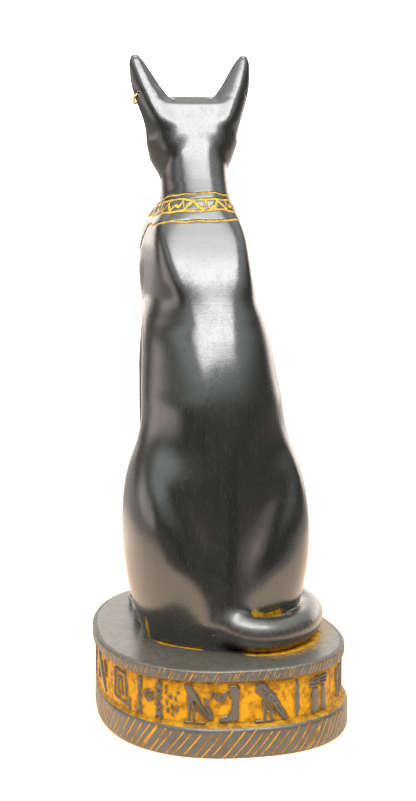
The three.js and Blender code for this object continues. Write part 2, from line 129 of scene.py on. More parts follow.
def blend(a, b, fillet):
    """Joins two distances with a fillet of the given size."""
    overlap = np.maximum(fillet - np.abs(a - b), 0)
    return np.minimum(a, b) - overlap**2 / (4 * fillet)


def column(along, across, over, stations, start=None):
    """Distance to sections stacked along one axis, each an oval or, by its power, squarer."""
    row = stations_at(stations, along)
    middle, middle_over, half, half_over = row[1:5]
    power = 2
    if len(row) > 5:
        half_over = np.where(over > middle_over, row[5], half_over)
        power = np.where(across > middle, row[7], row[6])
    wide, deep = np.abs(across - middle) / half, np.abs(over - middle_over) / half_over
    shell = np.maximum((wide**power + deep**power) ** (1 / power), 1e-4)
    slope = np.hypot((wide / shell) ** (power - 1) / half, (deep / shell) ** (power - 1) / half_over)
    side = (shell - 1) / np.maximum(slope, 1e-6)
    beyond = along - stations[-1][0]
    if start is not None:
        beyond = np.maximum(beyond, start - along)
    return np.maximum(side, beyond)


# Trunk, neck and skull: height, middle across, middle along Y, half width, depth in front of the middle,
# depth behind it, and the powers of the section's right and left sides (2 is an oval, more is squarer).
TRUNK = [
    [0, 0, 3.8, 12.6, 15.3, 15.1, 1.9, 1.9], [4.6, 0, 4.2, 13.4, 15.5, 15.1, 1.8, 1.8],
    [10.3, 0, 4.6, 13.9, 15.8, 14.9, 1.7, 1.7], [17.9, 0, 4.6, 13.9, 15.6, 14.2, 1.7, 1.7],
    [25.6, 0, 3.8, 13.2, 15.3, 13.8, 1.8, 1.8], [32.8, 0, 2.7, 12.5, 14.7, 13.5, 1.9, 1.9],
    [39.7, 0, 1.1, 12.2, 14.1, 13.55, 2, 2], [43, 0, -0.6, 11.9, 13.9, 14.3, 2, 2],
    [46.6, 0, -2.3, 11.5, 13.7, 14.55, 2.05, 2.05], [50.4, 0, -4.2, 11.1, 13.2, 14.5, 2.15, 2.15],
    [53.8, 0, -7.2, 10.5, 12.6, 15.6, 2.35, 2.35], [57.3, 0.3, -9.9, 9.3, 12.2, 16.4, 3, 3],
    [61.1, 0.7, -10.5, 8.7, 11.8, 15.05, 4.4, 4.2], [64.5, 0.9, -11.1, 8.4, 11.1, 13.7, 5.4, 5.4],
    [67.9, 0.9, -12.2, 8.2, 10.3, 12.5, 5.4, 6.5], [70.6, 0.7, -12.9, 7.7, 8.6, 11.3, 4, 6],
    [72.5, 0.3, -13.4, 6.9, 7.7, 10.5, 3, 3.8], [74.8, 0, -14, 6.1, 6.9, 9.6, 2.4, 2.4],
    [77.9, 0, -14.8, 5.9, 6.5, 8.3, 2.3, 2.3], [80, 0, -15.2, 5.9, 6.3, 7.45, 2.25, 2.25],
    [82, 0, -15.6, 6.1, 6, 6.73, 2.2, 2.2], [84.5, 0, -16.1, 6.7, 5.6, 5.98, 2.25, 2.25],
    [86.5, 0, -16.4, 7.35, 5.5, 5.36, 2.5, 2.5], [88.5, 0, -16.7, 7.8, 5.4, 4.72, 2.9, 2.9],
    [91, 0, -17.2, 7.8, 5.2, 4, 3.2, 3.2], [93.5, 0, -17.6, 7.6, 5, 3.2, 3.2, 3.2],
]
# A foreleg: height, middle across, middle along Y, half width and half depth.
FORELEG = [
    [-0.4, 4.4, -23.4, 3.7, 5.1], [1.4, 4.4, -23.4, 4, 5.4], [2.9, 4.4, -23.2, 4, 5.1],
    [4.4, 4.4, -22.7, 3.7, 4.3], [6.6, 4.4, -22.1, 3.5, 3.7], [11, 4.4, -21.8, 3.6, 3.5],
    [20, 4.5, -21.6, 3.8, 3.6], [31, 4.7, -21.2, 4.1, 3.8], [40, 4.7, -20.7, 4.3, 4.1],
    [47, 4.6, -20.1, 4.3, 4.3], [54, 4.2, -18.9, 4, 4.1], [58, 3.8, -18, 3.5, 3.5],
]
# A hind foot: place along Y, middle across, middle height, half width and half height.
HIND_FOOT = [
    [-21, 8.2, 0.5, 1.2, 0.8], [-20, 8.2, 0.7, 2.9, 1.9], [-17.5, 8.3, 0.8, 3.5, 2.4],
    [-14, 8.6, 0.8, 3.3, 2.5], [-10, 9.2, 1.1, 3.2, 2.8], [-6, 9.7, 1.6, 3.3, 3.2],
    [-2, 9.8, 2, 3.3, 3.6], [3, 9.4, 2.2, 3, 3.4],
]
# Points along the tail's middle, from the seat round the right side.
TAIL = [
    [2.2, 15.4, 8], [1, 18, 5], [-1.6, 20.2, 3.3], [-4.6, 20.8, 2.8],
    [-8.2, 19.6, 2.7], [-12, 16, 2.7], [-15, 10, 2.7], [-16.7, 4, 2.75],
    [-16.8, -2.5, 2.75], [-15.7, -8.7, 2.65], [-13.6, -14, 2.45],
]
# An ear, a cupped sheet open to the front: height, middle across, half width, middle along Y, bow and half
# thickness.
EAR = [
    [81.5, 3.4, 1.8, -15, 0.6, 1.6], [84, 4.1, 2.3, -14.5, 1, 1.85], [86, 4.6, 2.9, -13.9, 1.4, 1.8],
    [88, 5.2, 3.4, -13.7, 1.8, 1.6], [90.2, 6.3, 3.2, -14.2, 1.9, 1.2],
    [92.8, 7.4, 2.95, -15.1, 1.7, 0.85], [94.8, 8.3, 2.5, -16, 1.3, 0.8],
    [97.2, 9.15, 1.85, -17.1, 0.8, 0.78], [98.6, 9.6, 1.4, -17.75, 0.45, 0.68],
    [99.3, 9.8, 1.05, -18, 0.3, 0.55], [99.65, 9.9, 0.75, -18.15, 0.2, 0.38],
]
# The hole through the left ear's outer edge: a point on its axis, the way it runs and its radius.
EAR_HOLE = [9.3, -17.05, 93.2]
HOLE_AXIS = [0.55, 0.835, 0]
HOLE_RADIUS = 0.46

# The flat crown: its height at one place along Y, and its fall towards the back.
CROWN_HEIGHT = 92.5
CROWN_PLACE = -18.3
CROWN_FALL = 0.2

# Half of the V of the shallow valleys between the back and the thighs: distance from the middle, height.
VALLEY = [(12.4, 32), (9.8, 26.4), (7.6, 21.2), (5.2, 16), (3.3, 10.5), (2.6, 8)]
VALLEY_DEPTH = 0.42
VALLEY_WIDTH = 2.3
FAR = 50.0


def thighs(p):
    """Distance to both thighs, which lean forwards and are squarer higher up."""
    x, y, z = p.T
    across, height = 8.1, 15.5
    power = 2 + 0.6 * ease(9.5, 21.5, z)
    offset = np.abs(np.stack([np.abs(x) - across, y - (5.6 - 0.1 * z), z - height]))
    radii = np.stack([np.full_like(x, 7.75), np.full_like(x, 13.2), np.where(z > height, 19.2, 16)])
    total = ((offset / radii) ** power).sum(0)
    return (total ** (1 / power) - 1) * radii[0]


def valleys(mirrored):
    """Depth of the valleys between the back and the thighs."""
    x, y, z = mirrored.T
    depth = np.zeros(len(x))
    close = (z > 5) & (z < 38) & (y > 4)
    x, z = x[close], z[close]
    fade = ease(9, 16, z) * ease(31, 21, z)
    depth[close] = VALLEY_DEPTH * fade * np.exp(-((line(x, z, VALLEY, 0) / VALLEY_WIDTH) ** 2))
    return depth


def tail_root(p):
    """Distance to the spine's lower end, which runs out into the tail."""
    upper = taper(p, [1.4, 9, 28], [2.4, 14.6, 13.5], 1.4, 3.4)
    return np.minimum(upper, taper(p, [2.4, 14.6, 13.5], [1.4, 17.6, 4.6], 3.4, 3.6))


def chest(p, mirrored):
    breast = ellipsoid(p, [0, -17, 63], [7.6, 8.3, 13])
    shoulders = taper(mirrored, [3.4, -17.8, 61], [4.5, -20.1, 44], 5.15, 3.9)
    return blend(breast, shoulders, 2.5)


def ears(mirrored):
    """Distance to the ears' cupped sheets, from short straight pieces across each section."""
    x, y, z = mirrored.T
    nearest = np.full(len(x), FAR)
    close = z > 80
    x, y, z = x[close], y[close], z[close]
    place, across, half_width, middle, bow, thickness = stations_at(EAR, z)
    flat = half_width - thickness
    bends = [(across + flat * share, middle - bow * share**2) for share in np.linspace(-1, 1, 9)]
    gap = np.minimum.reduce([segment(x, y, *ends)[0] for ends in zip(bends[:-1], bends[1:])])
    beyond = np.maximum(z - place, 0)
    nearest[close] = np.hypot(gap, beyond) - thickness + 0.8 * np.maximum(place - z, 0)
    return nearest


def ear_holes(mirrored):
    """Distance to the holes through the ears' outer edges."""
    reach = mirrored - EAR_HOLE
    gap = reach - (reach @ HOLE_AXIS)[:, None] * HOLE_AXIS
    return np.linalg.norm(gap, axis=1) - HOLE_RADIUS


def face(p, mirrored):
    cheek = ellipsoid(mirrored, [3.7, -17, 83.6], [4.1, 5.9, 5.1])
    brow = ellipsoid(mirrored, [2.6, -19.6, 88], [4.6, 4.9, 4.2])
    bridge = taper(p, [0, -20.6, 88], [0, -24.6, 84.9], 4, 2.2)
    muzzle = ellipsoid(mirrored, [1.7, -23, 82.9], [2.9, 3.9, 2.8])
    chin = taper(p, [0, -20.5, 80.4], [0, -23.6, 80.5], 3, 2.1)
    return blend(blend(blend(blend(brow, bridge, 2.2), muzzle, 1.4), chin, 1.2), cheek, 1.6)


def tail_path():
    """Points and radii along the tail, on a smooth curve through its stations."""
    steps = np.linspace(0, 1, len(TAIL))
    rows = stations_at(np.column_stack([steps, TAIL]), np.linspace(0, 1, 45))
    share = rows[0]
    radius = TAIL_THICKNESS / 2 / UNIT * (1.17 - 0.37 * share)
    tip = np.sqrt(1 - np.clip((share - 0.93) / 0.07, 0, 1) ** 2 * 0.6)
    return rows[1:].T, radius * tip


def tail(p):
    points, radii = tail_path()
    nearest = np.full(len(p), FAR)
    close = p[:, 2] < 16
    for i in range(len(points) - 1):
        piece = taper(p[close], points[i], points[i + 1], radii[i], radii[i + 1])
        nearest[close] = np.minimum(nearest[close], piece)
    return nearest


def toe_creases(mirrored):
    """Depth of the grooves between the toes of each paw."""
    x, y, z = mirrored.T
    front = ease(-24.5, -26.5, y) * ease(4.6, 3.2, z)
    fore = sum(np.exp(-(((x - 4.4 - side) / 0.33) ** 2)) for side in (-1.9, 0, 1.9)) * front
    back = ease(-17.5, -19, y) * ease(3.2, 2, z) * (y > -21.5) * (x > 6)
    hind = sum(np.exp(-(((x - 8.2 - side) / 0.3) ** 2)) for side in (-1.5, 0, 1.5)) * back
    return 0.6 * fore + 0.45 * hind


def body_field(p):
    """Near distance to the cat without its tail, below zero inside, in hundredths of its height."""
    mirrored = np.column_stack([np.abs(p[:, 0]), p[:, 1:]])
    x, y, z = mirrored.T
    body = blend(column(z, p[:, 0], y, TRUNK), tail_root(p), 3)
    body = blend(body, thighs(p), 2.4)
    body = blend(body, chest(p, mirrored), 2) + valleys(mirrored)
    body = blend(body, column(z, x, y, FORELEG), 1.2)
    web = np.maximum(np.hypot(x / 3.4, (y + 14) / 8) * 3.4 - 3.4, z - 52)
    body = blend(body, web, 0.5)
    body = blend(body, column(y, x, z, HIND_FOOT, start=-21), 0.8)
    body = blend(body, face(p, mirrored), 1.6)
    edge_rounding = 0.3 + 2.4 * ease(-18, -22, y)
    body = -blend(-body, CROWN_HEIGHT - CROWN_FALL * (y - CROWN_PLACE) - z, edge_rounding)
    ear_root = taper(mirrored, [4.9, -16, 85.5], [6.9, -16.8, 92], 3.4, 2.1)
    body = blend(body, blend(ear_root, ears(mirrored), 0.9), 1.2)
    return np.maximum(body, -ear_holes(mirrored)) + toe_creases(mirrored)


def cat_field(p):
    return blend(body_field(p), tail(p), 0.7)


def in_units(points):
    return (points - [0, 0, PLINTH_TOP]) / UNIT


def in_mm(p):
    return p * UNIT + [0, 0, PLINTH_TOP]


def field_gradient(p, reach=0.02):
    """Field and its gradient, from four samples round each point."""
    corners = np.array([[1, 1, 1], [1, -1, -1], [-1, 1, -1], [-1, -1, 1]], float)
    samples = [cat_field(p + reach * corner) for corner in corners]
    gradient = sum(value[:, None] * corner for value, corner in zip(samples, corners)) / (4 * reach)
    return sum(samples) / 4, gradient


def onto_surface(p, rounds=3):
    for _ in range(rounds):
        value, gradient = field_gradient(p)
        size = np.maximum((gradient**2).sum(1), 0.05)
        move = value[:, None] * gradient / size[:, None]
        p = p - np.clip(move, -0.6, 0.6)
    return p


# Spacing of the lattice that the cat's skin is meshed on: level, and upwards in the body and in the head.
LEVEL_STEP = 0.5
BODY_STEP = 0.56
HEAD_STEP = 0.34
HEAD_FOOT = 78


def lattice_axes():
    x = np.arange(-20, 20.01, LEVEL_STEP)
    y = np.arange(-31, 25.01, LEVEL_STEP)
    z = np.concatenate([np.arange(-1.2, HEAD_FOOT, BODY_STEP), np.arange(HEAD_FOOT, 100.6, HEAD_STEP)])
    return x, y, z


def sampled_field(axes):
    """The field on the lattice. Points far from the surface keep the value of a coarser lattice."""
    stride, near_surface = 6, 5.5
    coarse = [axis[::stride] for axis in axes]
    grid = np.stack(np.meshgrid(*coarse, indexing="ij"), -1).reshape(-1, 3)
    rough = cat_field(grid).reshape([len(axis) for axis in coarse])
    near = np.abs(rough) < near_surface
    nearest = [(np.arange(len(axis)) + stride // 2) // stride for axis in axes]
    picked = np.ix_(*[np.minimum(place, len(axis) - 1) for place, axis in zip(nearest, coarse)])
    values, wanted = rough[picked].copy(), near[picked]
    index = np.argwhere(wanted)
    points = np.column_stack([axis[index[:, i]] for i, axis in enumerate(axes)])
    chunk = 250000
    exact = [cat_field(points[start : start + chunk]) for start in range(0, len(points), chunk)]
    values[wanted] = np.concatenate(exact)
    return values


def at_corner(array, corner):
    """The array's value at one corner of each lattice cell."""
    return array[tuple(slice(c, size - 1 + c) for c, size in zip(corner, array.shape))]


def surface_net(values, axes):
    """Vertices and quads of the surface where the lattice's values change sign."""
    shape = values.shape
    inside = values < 0
    corners = [(i, j, k) for i in (0, 1) for j in (0, 1) for k in (0, 1)]
    ways = np.eye(3, dtype=int)
    count = sum(at_corner(inside, corner).astype(np.int8) for corner in corners)
    cells = np.argwhere((count > 0) & (count < 8))
    number = np.full([size - 1 for size in shape], -1)
    number[tuple(cells.T)] = np.arange(len(cells))
    low, high = (np.column_stack([axes[n][cells[:, n] + end] for n in range(3)]) for end in (0, 1))
    total = np.zeros((len(cells), 3))
    crossings = np.zeros((len(cells), 1))
    for start in corners:
        for way in ways[np.array(start) == 0]:
            a, b = (values[tuple((cells + corner).T)][:, None] for corner in (start, start + way))
            crosses = (a < 0) != (b < 0)
            share = np.where(crosses, a / np.where(crosses, a - b, 1), 0)
            total += np.where(crosses, low + (high - low) * (start + share * way), 0)
            crossings += crosses
    vertices = total / crossings
    quads = []
    for n in range(3):
        u, v = (n + 1) % 3, (n + 2) % 3
        start = [slice(1, size - 1) for size in shape]
        start[n] = slice(0, shape[n] - 1)
        ahead = list(start)
        ahead[n] = slice(1, shape[n])
        here, there = inside[tuple(start)], inside[tuple(ahead)]
        edges = np.argwhere(here != there) + [0 if m == n else 1 for m in range(3)]
        turn = np.array([ways[u] + ways[v], ways[v], 0 * ways[n], ways[u]])
        ring = number[tuple(np.moveaxis(edges[:, None] - turn, -1, 0))]
        entering = ~inside[tuple(edges.T)]
        ring[entering] = ring[entering][:, ::-1]
        quads.append(ring)
    return vertices, np.concatenate(quads)


def write_shares(mesh, **shares):
    """Writes shares from 0 to 1, such as that of gold paint, at the mesh's points."""
    for name, values in shares.items():
        mesh.attributes.new(name, "FLOAT", "POINT").data.foreach_set("value", values.astype(np.float32))


def mesh_object(name, points, faces, **shares):
    """A smooth object from points in millimetres, faces, and shares at the points."""
    mesh = bpy.data.meshes.new(name)
    mesh.from_pydata((np.asarray(points) * MM).tolist(), [], faces)
    mesh.validate()
    mesh.shade_smooth()
    write_shares(mesh, **shares)
    piece = bpy.data.objects.new(name, mesh)
    bpy.context.scene.collection.objects.link(piece)
    return piece


def points_of(mesh):
    flat = np.zeros(len(mesh.vertices) * 3)
    mesh.vertices.foreach_get("co", flat)
    return flat.reshape(-1, 3)


# The collar's lines, as heights in millimetres at the nape. They tilt down towards the front, and the lowest
# one falls further on the chest.
COLLAR_TILT = 0.12
COLLAR_TOP = 235.6
COLLAR_UPPER = 233.1
COLLAR_LOWER = 227.4
COLLAR_FOOT = 222.5
COLLAR_FOOT_FALL = 22
COLLAR_DEPTH = 0.4
NAPE = -17
COLLAR_AXIS = -36
FACE_DEPTH = 0.55


def collar_height(points):
    return points[:, 2] - COLLAR_TILT * (points[:, 1] - NAPE)


def collar_angle(points):
    return np.arctan2(points[:, 0], points[:, 1] - COLLAR_AXIS)


def chest_share(angle):
    """0 round the nape and 1 at the chest."""
    return ease(1.3, 2.7, np.abs(angle))


def groove(distance, width):
    """The share of a groove's depth at a distance from its middle."""
    return np.exp(-((distance / (width / 2)) ** 2))


def wobble(angle, seed, size):
    """A small closed unevenness round the neck."""
    waves = [(3, 0.9), (7, 0.6), (11, 0.5), (19, 0.35)]
    return size * sum(share * np.sin(times * angle + seed * (times + 1.3)) for times, share in waves)


def collar_foot(angle):
    """Height of the collar's lowest line."""
    return COLLAR_FOOT - COLLAR_FOOT_FALL * chest_share(angle) + wobble(angle, 2.1, 0.45)


def collar_marks(points):
    """Depth and paint of the collar's lines and the zigzag between them."""
    angle = collar_angle(points)
    height = collar_height(points)
    lines = [
        (height - COLLAR_TOP - wobble(angle, 0.3, 0.3), 0.65),
        (height - COLLAR_UPPER - wobble(angle, 1.2, 0.3), 0.9),
        (height - COLLAR_LOWER - wobble(angle, 3.4, 0.35) - 1.2 * chest_share(angle), 0.9),
        (height - collar_foot(angle), 0.8),
    ]
    teeth = 11
    drift = 0.4 * np.sin(3 * angle) + 0.16 * np.sin(17 * angle) + 0.1 * np.sin(31 * angle)
    saw = np.abs((angle * teeth / math.pi + drift) * 2 % 2 - 1)
    middle = (COLLAR_UPPER + COLLAR_LOWER) / 2
    reach = (COLLAR_UPPER - COLLAR_LOWER) / 2 - 0.5
    zigzag = (height - middle) - reach * (2 * saw - 1)
    steepness = 0.42
    inside = (height < COLLAR_UPPER) & (height > COLLAR_LOWER)
    marks = [groove(distance, width) for distance, width in lines]
    return np.maximum.reduce([*marks, groove(zigzag * steepness, 0.7) * inside])


def face_marks(p):
    """Depth of the lines of the eyes, the nose and the mouth."""
    x, z = np.abs(p[:, 0]), p[:, 2]
    slant = 0.28
    across, up = x - 3.2, z - 86.7
    u = across * math.cos(slant) + up * math.sin(slant)
    v = up * math.cos(slant) - across * math.sin(slant)
    eye = groove((np.hypot(u / 1.75, v / 0.85) - 1) * 0.85, 0.42)
    corner = groove(line(x, z, [(1.7, 86.1), (1.2, 85.5)], 0.02), 0.36)
    nose = groove(line(x, z, [(1.15, 84.7), (0.7, 83.9), (0, 83.5)], 0.02), 0.36)
    mouth = groove(line(x, z, [(0, 83.5), (0, 82.3), (1.2, 81.7), (2.4, 82.1)], 0.02), 0.34)
    ahead = ease(-18.6, -19.6, p[:, 1])
    return np.maximum.reduce([eye, corner, nose, mouth]) * ahead


def spot(p, place, size, hardness=0.5):
    """1 within a spot round a place, 0 outside its size."""
    return ease(size, size * hardness, np.linalg.norm(p - np.array(place), axis=1))


def crevice_paint(p):
    """Gold paint left in the crevices of the tail and the left hind foot, and a few stains."""
    x, y, z = p.T
    behind = ease(15, 17, y) * ease(-2.2, -4, x) * ease(-11.5, -9.5, x)
    crevice = ease(1.9, 0.8, np.maximum(tail(p), body_field(p))) * behind
    under = ease(1.15, 0.5, z) * ease(0, -3, x) * ease(6, 12, y)
    left_foot = ease(0.4, 0, taper(p, [12.4, 7.5, 0.3], [12.9, 9.5, 4.5], 0.6, 0.3))
    stain = 0.55 * spot(p, (3.8, 20.2, 2.8), 0.9, 0.1)
    speck, blot = spot(p, (4.24, 19.9, 12.65), 0.3), spot(p, (-3.2, 22, 0.8), 0.9)
    return np.maximum.reduce([crevice, under, left_foot, stain, speck, blot])


def build_cat():
    axes = lattice_axes()
    vertices, quads = surface_net(sampled_field(axes), axes)
    vertices = onto_surface(vertices)
    piece = mesh_object("cat", in_mm(vertices), quads.tolist())
    refine(piece)
    points = onto_surface(in_units(points_of(piece.data) / MM), 2)
    _, gradient = field_gradient(points)
    normals = gradient / np.linalg.norm(gradient, axis=1)[:, None]
    places = in_mm(points)
    collar, features = collar_marks(places), face_marks(points)
    places = places - normals * (COLLAR_DEPTH * collar + FACE_DEPTH * features)[:, None]
    piece.data.vertices.foreach_set("co", (places * MM).ravel())
    gold = np.maximum(ease(0.25, 0.6, np.maximum(collar, features)), crevice_paint(points))
    on_tail = ease(1.2, 0, tail(points))
    worn = np.maximum(0.3 * ease(15, 2, points[:, 2]), 0.75 * on_tail)
    # Painted shade: the gold paint on the cat is darker towards the bottom, in the crevices under the tail.
    grime = 0.7 * ease(15, 6, points[:, 2])
    write_shares(piece.data, gold=gold, worn=worn, grime=grime)
    piece.data.shade_smooth()
    piece.data.update()
    return piece


def cut_edges(bm, chosen, cuts):
    """Cuts the edges whose ends are both chosen, and the faces between them."""
    bm.verts.index_update()
    picked = [edge for edge in bm.edges if all(chosen[v.index] for v in edge.verts)]
    bmesh.ops.subdivide_edges(bm, edges=picked, cuts=cuts, use_grid_fill=True)


def refine(piece):
    """Cuts the ears' thin edges, the collar and the face more finely, for their carving."""
    bm = bmesh.new()
    bm.from_mesh(piece.data)
    p = in_units(np.array([v.co[:] for v in bm.verts]) / MM)
    cut_edges(bm, (p[:, 2] > 90) & (np.abs(p[:, 0]) > 5.5), 1)
    places = np.array([v.co[:] for v in bm.verts]) / MM
    height = collar_height(places)
    near_foot = np.abs(height - collar_foot(collar_angle(places))) < 1.4
    collar = (height < COLLAR_TOP + 1.9) & ((height > COLLAR_LOWER - 1.5) | near_foot)
    p = in_units(places)
    cut_edges(bm, collar | ((p[:, 1] < -19) & (p[:, 2] > 80.5) & (p[:, 2] < 90)), 2)
    bm.to_mesh(piece.data)
    bm.free()


def plinth_profile():
    """Rows of the skin from the underside up: offset from the outline, height, share of the rim's shift."""
    rows = [(-3, 0, 1), (-1.1, 0, 1), (-0.6, 0.25, 1), (-0.2, 0.8, 1), (0.02, 1.5, 1)]
    swell_height = 6.6
    for height in np.arange(2, 11.9, 0.5):
        bulge = 1 - ((height - swell_height) / swell_height) ** 2
        rows.append((0.05 + 0.3 * bulge, height, 1))
    rows += [(0, 12.3, 0.95), (-0.3, 12.9, 0.85), (-0.8, 13.4, 0.65), (-1.4, 13.75, 0.4), (-1.9, 14.1, 0.15)]
    low, high, top = BAND_FOOT, BAND_TOP, PLINTH_TOP
    rows += [(-BAND_RECESS, height, 0) for height in np.linspace(low, high - 0.5, 50)]
    rows += [(-1.85, high - 0.3, 0), (-1.1, high - 0.12, 0), (-0.35, high + 0.05, 0), (-0.05, high + 0.3, 0)]
    rows += [(0.05, height, 0) for height in np.arange(high + 0.65, top - 1, 0.36)]
    rows += [(-0.1, top - 0.75, 0), (-0.35, top - 0.45, 0), (-0.75, top - 0.24, 0), (-1.3, top - 0.08, 0)]
    rows += [(-PLATE_EDGE, top, 0), (-PLATE_EDGE - 0.4, top - 0.35, 0)]
    return np.array(rows)


def signed_power(value):
    return np.sign(value) * np.abs(value) ** (2 / OVAL_POWER)


def outline_point(angle, offset):
    """A point of the plinth's oval moved outwards by an offset. The oval is wider at the rear."""
    half_width = PLINTH_WIDTH / 2 + offset
    half_length = PLINTH_LENGTH / 2 + offset
    along = signed_power(np.sin(angle))
    return half_width * signed_power(np.cos(angle)) * (1 + REAR_WIDENING * along), half_length * along


class Band:
    """Angles of the outline by the distance run along the band's ground, from the rear middle towards +X."""

    def __init__(self):
        self.angle = math.pi / 2 - np.linspace(0, 2 * math.pi, 2881)
        x, y = outline_point(self.angle, -BAND_RECESS)
        self.run = np.concatenate([[0], np.cumsum(np.hypot(np.diff(x), np.diff(y)))])
        self.length = self.run[-1]

    def angle_at(self, run):
        return np.interp(run % self.length, self.run, self.angle)

    def shorter_way(self, distance):
        return (distance + self.length / 2) % self.length - self.length / 2


band = Band()


def line(u, v, points, width, end_width=None):
    """Distance to a stroke through points, with round ends."""
    end_width = width if end_width is None else end_width
    nearest = np.full(np.shape(u), FAR)
    count = len(points) - 1
    for i in range(count):
        distance, share = segment(u, v, points[i], points[i + 1])
        half = (width + (end_width - width) * (i + share) / count) / 2
        nearest = np.minimum(nearest, distance - half)
    return nearest


def patch(u, v, points):
    """Distance to a filled outline through points."""
    nearest = np.full(np.shape(u), FAR)
    inside = np.zeros(np.shape(u), bool)
    for i, end in enumerate(points):
        start = points[i - 1]
        nearest = np.minimum(nearest, segment(u, v, start, end)[0])
        crosses = (start[1] > v) != (end[1] > v)
        rise = end[1] - start[1] if end[1] != start[1] else 1e-9
        inside ^= crosses & (u < start[0] + (v - start[1]) / rise * (end[0] - start[0]))
    return np.where(inside, -nearest, nearest)


def ring_line(u, v, radius, width):
    return np.abs(np.hypot(u, v) - radius) - width / 2


def drawn(u, v, parts):
    """Distance to a figure. A part is an outline to fill, or a stroke with one width or one at each end."""
    return np.minimum.reduce([line(u, v, *part) if len(part) > 1 else patch(u, v, *part) for part in parts])


# The frieze's figures in millimetres, each from the middle of its foot.
NESTED_SQUARES = [
    ([(-6.2, 4.6), (-6.4, 16), (3.6, 15.4), (4.4, 6.4)], 1),
    ([(-6.2, 4.8), (-5.2, 3.6), (5.4, 2.6), (7, 4.8), (7, 0.6)], 1),
    ([(-2.6, 6), (-2.8, 13), (0.6, 12.6)], 0.8), ([(0.6, 12), (1, 5.6)], 0.7),
]
SPOTS = [(-2.6, 12.6, 0.5), (-2.2, 8.4, 0.8), (-1.8, 5.2, 0.5), (-0.4, 11.2, 0.6), (0.2, 7.2, 0.9)]
SPOTS += [(0.6, 3.6, 0.5), (2, 10.4, 0.7), (2.4, 6.2, 0.8), (2.8, 13.2, 0.4), (-2.4, 14.6, 0.6)]
WORN_SPOTS = [([(x, y), (x + 0.15, y - 1.5 * size)], size) for x, y, size in SPOTS]
STANDING_OUTLINE = [(-5, 16.4), (-3.6, 16.8), (-1.6, 15.6), (0.4, 12.6), (2.2, 9.2), (0.6, 9.2), (-1.8, 10.4)]
STANDING_OUTLINE += [(-3.4, 12.2)]
STANDING_BIRD = [
    (STANDING_OUTLINE,), ([(0.6, 9.8), (3.4, 5.6), (6.2, 2.4)], 1.5, 0.8),
    ([(-2.6, 10.6), (-0.4, 7), (2.4, 4.2), (5.4, 1.8)], 0.9, 0.6),
    ([(-3.4, 11), (-3, 6), (-3.2, 1.6)], 0.8), ([(-1.8, 9), (-1, 5), (-1, 1.6)], 0.7),
    ([(4.4, 10.6), (4.2, 8), (5.6, 5.4), (6.6, 2)], 1.5, 0.7), ([(-5.2, 0.3), (3.4, 0.1)], 0.9),
]
CURLS = [([(x, 13.4), (x + 0.5, 12.2), (x - 0.1, 11)], 0.55) for x in (-2.4, -0.6, 1.1, 2.6)]
BOOT_OUTLINE = [(-1.4, 16.6), (1.6, 16.8), (3, 15.4), (2.4, 11), (2.6, 5), (2, 1.2), (-2.6, 1)]
BOOT_OUTLINE += [(-5.4, 0.8), (-5.2, 3), (-2.2, 3.6), (-0.6, 6), (0.2, 10.4), (-1.6, 13)]
BOOT = [
    (BOOT_OUTLINE,), ([(-7.2, 12.6), (-6.4, 10.8), (-4.6, 10.4), (-3.4, 12), (-3, 13.4)], 1.3),
    ([(-7.4, -0.4), (2.8, -0.3)], 0.8),
]
BIRD_OUTLINE = [(-6.4, 16.2), (-4.4, 17.4), (-2.2, 17), (-0.8, 14.8), (2.2, 12), (5.8, 5.4), (8.2, 1.6)]
BIRD_OUTLINE += [(7.8, 0), (6, 0.6), (3, 5), (0.6, 8.4), (-1.8, 8.8), (-3.2, 11), (-5.8, 13.2)]
BIRD_BODY = [
    (BIRD_OUTLINE,), ([(-2.8, 9.4), (-2.2, 5), (-2.2, 0.8)], 1),
    ([(-1.2, 8.4), (0.6, 4.6), (0.8, 0.8)], 0.8), ([(-2.2, 4.2), (1.4, 4.2)], 0.6),
    ([(0.6, 5.4), (2.6, 3.6)], 0.6), ([(-6, 0.3), (2, 0.5)], 0.9),
]
BIRD_WING = [
    ([(-3.6, 15.2), (-2.4, 13.6), (-2.8, 12)], 0.3), ([(0, 11.4), (1.6, 9.4)], 0.3),
    ([(3.4, 7.4), (6.6, 2)], 0.35),
]
SPINDLE_OUTLINE = [(-0.3, 16.6), (0.5, 16.6), (0.9, 12), (1.2, 8), (0.7, 3), (0.1, 0.6), (-0.4, 3), (-1.1, 8)]
SPINDLE = [([*SPINDLE_OUTLINE, (-0.6, 12)],)]
GATE = [
    ([(left, low + 1.5 * i), (right, low + 0.2 + 1.5 * i)], 0.75)
    for left, right, low in ((-5.6, -0.4, 12.4), (0.8, 5.6, 12.6))
    for i in range(3)
]
GATE += [([(-4.2, 11.4), (-1, 11.4), (-0.4, 0.8), (-4.4, 0.6)],)]
GATE += [([(2, 11.6), (4.2, 11.6), (5.4, 0.8), (2, 0.8)],)]
TALL_STROKES = [
    ([(-4.2, 15), (-3.8, 9), (-4.2, 3)], 1.3, 0.9), ([(-0.4, 16), (0.2, 8), (-0.2, 2)], 1),
    ([(3.6, 15), (4, 3)], 1),
]
LONG_LEAF = [
    ([(-8.6, 16.4), (-7, 16.8), (2, 8.6), (8.4, 1.8), (7.2, 1.4), (-1, 6.8), (-6, 12.4)],),
    ([(-9.4, 4), (-6.8, 10.4)], 0.9), ([(4.6, 15), (8, 9)], 0.9),
]


def upright(u, v, width=1.3, waves=3):
    """Distance to a twisted upright between a head and two feet."""
    sway = width * 0.45 * np.sin((v - 2) * math.pi * waves / 12)
    stem = np.where((v > 1.5) & (v < 15.5), np.abs(np.abs(u) - np.abs(sway)) - 0.42, FAR)
    ends = [([(0.1, 14.2), (0.2, 16.2)], 1.7), ([(-1.6, 0.8), (0, 3.8), (1.4, 0.8)], 0.75)]
    return np.minimum(stem, drawn(u, v, ends))


def thick_upright(u, v):
    return upright(u, v, 2.4, 4)


